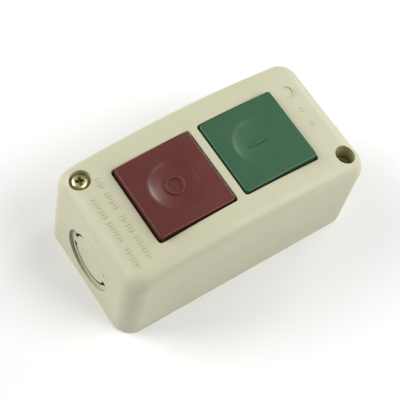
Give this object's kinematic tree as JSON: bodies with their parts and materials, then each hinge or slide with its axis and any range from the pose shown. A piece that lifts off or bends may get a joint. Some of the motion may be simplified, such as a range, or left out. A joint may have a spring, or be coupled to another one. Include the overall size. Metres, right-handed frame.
{
  "type": "motor starter",
  "caption": "Ivory surface-mount push-button motor starter with square red OFF and green ON buttons, double-break contacts inside and a cable knock-out in each end.",
  "frame": {"origin": "middle of the wall face, under the case", "axes": "+X along the length towards the ON end, +Y across the width, +Z away from the wall out of the buttons"},
  "size_m": [0.084, 0.044, 0.0363],
  "materials": {
    "ivory_shell": "satin moulded",
    "red_cap": "satin moulded",
    "green_cap": "satin moulded",
    "black_phenolic": "moulded",
    "natural_nylon": "moulded",
    "yellow_zinc": "yellow zinc plated",
    "bright_steel": "bright zinc plated",
    "spring_steel": "drawn wire",
    "silver_contact": "silver alloy",
    "brass": "stamped"
  },
  "bodies": {
    "housing": {"cover": "ivory_shell", "base": "black_phenolic", "cover_screws": "yellow_zinc", "cover_inserts": "brass", "line_terminal_1": "brass", "line_terminal_2": "brass", "line_terminal_3": "brass", "load_terminal_1": "brass", "load_terminal_2": "brass", "load_terminal_3": "brass", "fixed_tips": "silver_contact", "terminal_screws": "yellow_zinc", "terminal_clamps": "bright_steel", "guide_frame": "natural_nylon", "frame_screws": "yellow_zinc", "latch_pin": "bright_steel", "latch_spring": "spring_steel", "off_spring": "spring_steel", "on_spring": "spring_steel", "carriage_springs": "spring_steel"},
    "off_pushbutton": {"off_button": "red_cap"},
    "on_pushbutton": {"on_button": "green_cap"},
    "contact_block": {"contact_carriage": "natural_nylon", "contact_bridge_1": "brass", "contact_bridge_2": "brass", "contact_bridge_3": "brass", "moving_tips": "silver_contact", "contact_springs": "spring_steel"},
    "latch": {"latch_lever": "bright_steel"}
  },
  "joints": [
    {"name": "off_press", "type": "slide", "parent": "housing", "child": "off_pushbutton", "axis": [0, 0, -1], "range_m": [0, 0.003], "stiffness_N_per_m": 300, "springref_m": -0.003, "deforming": ["off_spring"]},
    {"name": "on_press", "type": "slide", "parent": "housing", "child": "on_pushbutton", "axis": [0, 0, -1], "range_m": [0, 0.003], "stiffness_N_per_m": 500, "springref_m": -0.003, "deforming": ["on_spring"]},
    {"name": "carriage_travel", "type": "slide", "parent": "housing", "child": "contact_block", "axis": [0, 0, -1], "range_m": [0, 0.003], "deforming": ["carriage_springs"]},
    {"name": "latch_swing", "type": "hinge", "parent": "housing", "child": "latch", "pos_m": [-0.006, 0, 0.01925], "axis": [0, -1, 0], "range_deg": [0, 21.2], "deforming": ["latch_spring"]}
  ],
  "couplings": [
    {"joint": "carriage_travel", "follows": "on_press", "ratio": 1},
    {"joint": "latch_swing", "follows": "off_press", "rad_per_m": 122.8}
  ]
}
